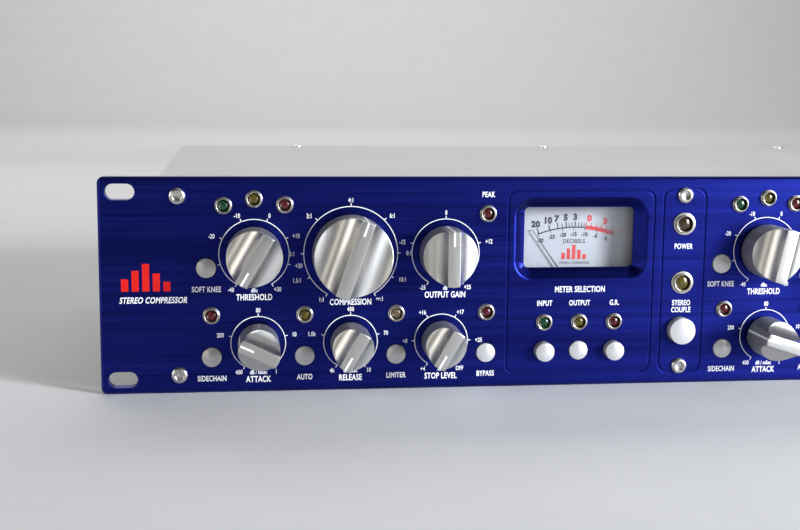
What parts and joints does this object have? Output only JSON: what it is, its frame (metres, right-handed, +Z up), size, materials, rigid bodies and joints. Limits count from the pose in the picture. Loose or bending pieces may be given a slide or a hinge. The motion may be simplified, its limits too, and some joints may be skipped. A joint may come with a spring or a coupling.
{
  "type": "rack compressor",
  "caption": "Dual-channel two-unit rack compressor with a blue brushed panel, turned metal knobs, push buttons, needle meters and rear sockets.",
  "frame": {"origin": "centre of the four rack slots, on the rear face of the front panel", "axes": "+X to the right seen from the front, +Y into the rack, +Z up; the panel's front faces -Y"},
  "size_m": [0.4826, 0.2858, 0.0882],
  "materials": {
    "panel_blue": "brushed anodised, printed in white and red",
    "chassis_grey": "fine textured paint",
    "cover_grey": "fine textured paint",
    "screw_steel": "satin",
    "bezel_metal": "satin",
    "led_green": "translucent, unlit",
    "led_yellow": "translucent, unlit",
    "led_red": "translucent, unlit",
    "meter_black": "moulded",
    "dial_white": "printed scale",
    "meter_clear": "clear, glossy",
    "movement_steel": "satin",
    "board_green": "solder resist",
    "pot_metal": "plated",
    "switch_plastic": "moulded",
    "transformer_core": "wound with tape",
    "component_black": "sleeved",
    "heat_sink_metal": "black anodised",
    "standoff_brass": "satin",
    "ribbon_grey": "flat cable",
    "inlet_black": "moulded",
    "socket_metal": "satin nickel",
    "jack_black": "moulded, plated nut",
    "knob_metal": "satin turned, white pointer line",
    "cap_silver": "satin, domed",
    "needle_black": "painted",
    "rocker_black": "moulded",
    "latch_metal": "satin"
  },
  "bodies": {
    "chassis": {"front_panel": "panel_blue", "chassis_tray": "chassis_grey", "top_cover": "cover_grey", "rear_panel": "chassis_grey", "panel_screws": "screw_steel", "chassis_screws": "screw_steel", "led_bezels": "bezel_metal", "green_leds": "led_green", "yellow_leds": "led_yellow", "red_leds": "led_red", "meter_housings": "meter_black", "meter_dials": "dial_white", "meter_windows": "meter_clear", "meter_movements": "movement_steel", "circuit_boards": "board_green", "pot_bodies": "pot_metal", "switch_bodies": "switch_plastic", "transformer": "transformer_core", "board_components": "component_black", "heat_sink": "heat_sink_metal", "standoffs": "standoff_brass", "ribbon_cables": "ribbon_grey", "power_inlet": "inlet_black", "xlr_sockets": "socket_metal", "jack_sockets": "jack_black"},
    "threshold_knob_1": {"threshold_knob_1": "knob_metal"},
    "compression_knob_1": {"compression_knob_1": "knob_metal"},
    "output_knob_1": {"output_knob_1": "knob_metal"},
    "attack_knob_1": {"attack_knob_1": "knob_metal"},
    "release_knob_1": {"release_knob_1": "knob_metal"},
    "stop_knob_1": {"stop_knob_1": "knob_metal"},
    "threshold_knob_2": {"threshold_knob_2": "knob_metal"},
    "compression_knob_2": {"compression_knob_2": "knob_metal"},
    "output_knob_2": {"output_knob_2": "knob_metal"},
    "attack_knob_2": {"attack_knob_2": "knob_metal"},
    "release_knob_2": {"release_knob_2": "knob_metal"},
    "stop_knob_2": {"stop_knob_2": "knob_metal"},
    "soft_knee_button_1": {"soft_knee_button_1": "cap_silver"},
    "sidechain_button_1": {"sidechain_button_1": "cap_silver"},
    "auto_button_1": {"auto_button_1": "cap_silver"},
    "limiter_button_1": {"limiter_button_1": "cap_silver"},
    "bypass_button_1": {"bypass_button_1": "cap_silver"},
    "meter_input_button_1": {"meter_input_button_1": "cap_silver"},
    "meter_output_button_1": {"meter_output_button_1": "cap_silver"},
    "meter_reduction_button_1": {"meter_reduction_button_1": "cap_silver"},
    "soft_knee_button_2": {"soft_knee_button_2": "cap_silver"},
    "sidechain_button_2": {"sidechain_button_2": "cap_silver"},
    "auto_button_2": {"auto_button_2": "cap_silver"},
    "limiter_button_2": {"limiter_button_2": "cap_silver"},
    "bypass_button_2": {"bypass_button_2": "cap_silver"},
    "meter_input_button_2": {"meter_input_button_2": "cap_silver"},
    "meter_output_button_2": {"meter_output_button_2": "cap_silver"},
    "meter_reduction_button_2": {"meter_reduction_button_2": "cap_silver"},
    "stereo_button": {"stereo_button": "cap_silver"},
    "meter_needle_1": {"meter_needle_1": "needle_black"},
    "meter_needle_2": {"meter_needle_2": "needle_black"},
    "power_rocker": {"power_rocker": "rocker_black"},
    "xlr_latch_1": {"xlr_latch_1": "latch_metal"},
    "xlr_latch_2": {"xlr_latch_2": "latch_metal"},
    "fuse_drawer": {"fuse_drawer": "inlet_black"}
  },
  "joints": [
    {"name": "threshold_1_turn", "type": "hinge", "parent": "chassis", "child": "threshold_knob_1", "pos_m": [-0.1797, -0.016, 0.0129], "axis": [0, 1, 0], "range_deg": [0, 300]},
    {"name": "compression_1_turn", "type": "hinge", "parent": "chassis", "child": "compression_knob_1", "pos_m": [-0.1405, -0.016, 0.0129], "axis": [0, 1, 0], "range_deg": [-169, 131]},
    {"name": "output_1_turn", "type": "hinge", "parent": "chassis", "child": "output_knob_1", "pos_m": [-0.1014, -0.016, 0.0129], "axis": [0, 1, 0], "range_deg": [-150, 150]},
    {"name": "attack_1_turn", "type": "hinge", "parent": "chassis", "child": "attack_knob_1", "pos_m": [-0.1782, -0.016, -0.0238], "axis": [0, 1, 0], "range_deg": [-85, 215]},
    {"name": "release_1_turn", "type": "hinge", "parent": "chassis", "child": "release_knob_1", "pos_m": [-0.1405, -0.016, -0.0238], "axis": [0, 1, 0], "range_deg": [0, 300]},
    {"name": "stop_1_turn", "type": "hinge", "parent": "chassis", "child": "stop_knob_1", "pos_m": [-0.1028, -0.016, -0.0238], "axis": [0, 1, 0], "range_deg": [0, 300]},
    {"name": "threshold_2_turn", "type": "hinge", "parent": "chassis", "child": "threshold_knob_2", "pos_m": [0.0363, -0.016, 0.0129], "axis": [0, 1, 0], "range_deg": [-162, 138]},
    {"name": "compression_2_turn", "type": "hinge", "parent": "chassis", "child": "compression_knob_2", "pos_m": [0.0755, -0.016, 0.0129], "axis": [0, 1, 0], "range_deg": [-150, 150]},
    {"name": "output_2_turn", "type": "hinge", "parent": "chassis", "child": "output_knob_2", "pos_m": [0.1146, -0.016, 0.0129], "axis": [0, 1, 0], "range_deg": [-150, 150]},
    {"name": "attack_2_turn", "type": "hinge", "parent": "chassis", "child": "attack_knob_2", "pos_m": [0.0378, -0.016, -0.0238], "axis": [0, 1, 0], "range_deg": [-78, 222]},
    {"name": "release_2_turn", "type": "hinge", "parent": "chassis", "child": "release_knob_2", "pos_m": [0.0755, -0.016, -0.0238], "axis": [0, 1, 0], "range_deg": [-75, 225]},
    {"name": "stop_2_turn", "type": "hinge", "parent": "chassis", "child": "stop_knob_2", "pos_m": [0.1132, -0.016, -0.0238], "axis": [0, 1, 0], "range_deg": [-300, 0]},
    {"name": "soft_knee_1_push", "type": "slide", "parent": "chassis", "child": "soft_knee_button_1", "axis": [0, 1, 0], "range_m": [-0.003, 0.0004], "stiffness_N_per_m": 150},
    {"name": "sidechain_1_push", "type": "slide", "parent": "chassis", "child": "sidechain_button_1", "axis": [0, 1, 0], "range_m": [-0.003, 0.0004], "stiffness_N_per_m": 150},
    {"name": "auto_1_push", "type": "slide", "parent": "chassis", "child": "auto_button_1", "axis": [0, 1, 0], "range_m": [-0.003, 0.0004], "stiffness_N_per_m": 150},
    {"name": "limiter_1_push", "type": "slide", "parent": "chassis", "child": "limiter_button_1", "axis": [0, 1, 0], "range_m": [-0.003, 0.0004], "stiffness_N_per_m": 150},
    {"name": "bypass_1_push", "type": "slide", "parent": "chassis", "child": "bypass_button_1", "axis": [0, 1, 0], "range_m": [-0.003, 0.0004], "stiffness_N_per_m": 150},
    {"name": "meter_input_1_push", "type": "slide", "parent": "chassis", "child": "meter_input_button_1", "axis": [0, 1, 0], "range_m": [0, 0.0034], "stiffness_N_per_m": 150},
    {"name": "meter_output_1_push", "type": "slide", "parent": "chassis", "child": "meter_output_button_1", "axis": [0, 1, 0], "range_m": [-0.003, 0.0004], "stiffness_N_per_m": 150},
    {"name": "meter_reduction_1_push", "type": "slide", "parent": "chassis", "child": "meter_reduction_button_1", "axis": [0, 1, 0], "range_m": [0, 0.0034], "stiffness_N_per_m": 150},
    {"name": "soft_knee_2_push", "type": "slide", "parent": "chassis", "child": "soft_knee_button_2", "axis": [0, 1, 0], "range_m": [-0.003, 0.0004], "stiffness_N_per_m": 150},
    {"name": "sidechain_2_push", "type": "slide", "parent": "chassis", "child": "sidechain_button_2", "axis": [0, 1, 0], "range_m": [-0.003, 0.0004], "stiffness_N_per_m": 150},
    {"name": "auto_2_push", "type": "slide", "parent": "chassis", "child": "auto_button_2", "axis": [0, 1, 0], "range_m": [-0.003, 0.0004], "stiffness_N_per_m": 150},
    {"name": "limiter_2_push", "type": "slide", "parent": "chassis", "child": "limiter_button_2", "axis": [0, 1, 0], "range_m": [-0.003, 0.0004], "stiffness_N_per_m": 150},
    {"name": "bypass_2_push", "type": "slide", "parent": "chassis", "child": "bypass_button_2", "axis": [0, 1, 0], "range_m": [-0.003, 0.0004], "stiffness_N_per_m": 150},
    {"name": "meter_input_2_push", "type": "slide", "parent": "chassis", "child": "meter_input_button_2", "axis": [0, 1, 0], "range_m": [0, 0.0034], "stiffness_N_per_m": 150},
    {"name": "meter_output_2_push", "type": "slide", "parent": "chassis", "child": "meter_output_button_2", "axis": [0, 1, 0], "range_m": [-0.003, 0.0004], "stiffness_N_per_m": 150},
    {"name": "meter_reduction_2_push", "type": "slide", "parent": "chassis", "child": "meter_reduction_button_2", "axis": [0, 1, 0], "range_m": [0, 0.0034], "stiffness_N_per_m": 150},
    {"name": "stereo_push", "type": "slide", "parent": "chassis", "child": "stereo_button", "axis": [0, 1, 0], "range_m": [0, 0.0034], "stiffness_N_per_m": 150},
    {"name": "meter_1_swing", "type": "hinge", "parent": "chassis", "child": "meter_needle_1", "pos_m": [-0.0436, 0.0066, -0.006], "axis": [0, 1, 0], "range_deg": [0, 70], "stiffness_Nm_per_rad": 0.0005},
    {"name": "meter_2_swing", "type": "hinge", "parent": "chassis", "child": "meter_needle_2", "pos_m": [0.1724, 0.0066, -0.006], "axis": [0, 1, 0], "range_deg": [0, 70], "stiffness_Nm_per_rad": 0.0005},
    {"name": "power_rock", "type": "hinge", "parent": "chassis", "child": "power_rocker", "pos_m": [0.118, 0.253, 0], "axis": [-1, 0, 0], "range_deg": [0, 20]},
    {"name": "xlr_latch_1_press", "type": "slide", "parent": "chassis", "child": "xlr_latch_1", "axis": [0, -1, 0], "range_m": [0, 0.0015], "stiffness_N_per_m": 600},
    {"name": "xlr_latch_2_press", "type": "slide", "parent": "chassis", "child": "xlr_latch_2", "axis": [0, -1, 0], "range_m": [0, 0.0015], "stiffness_N_per_m": 600},
    {"name": "fuse_drawer_pull", "type": "slide", "parent": "chassis", "child": "fuse_drawer", "axis": [0, 1, 0], "range_m": [0, 0.02]}
  ]
}
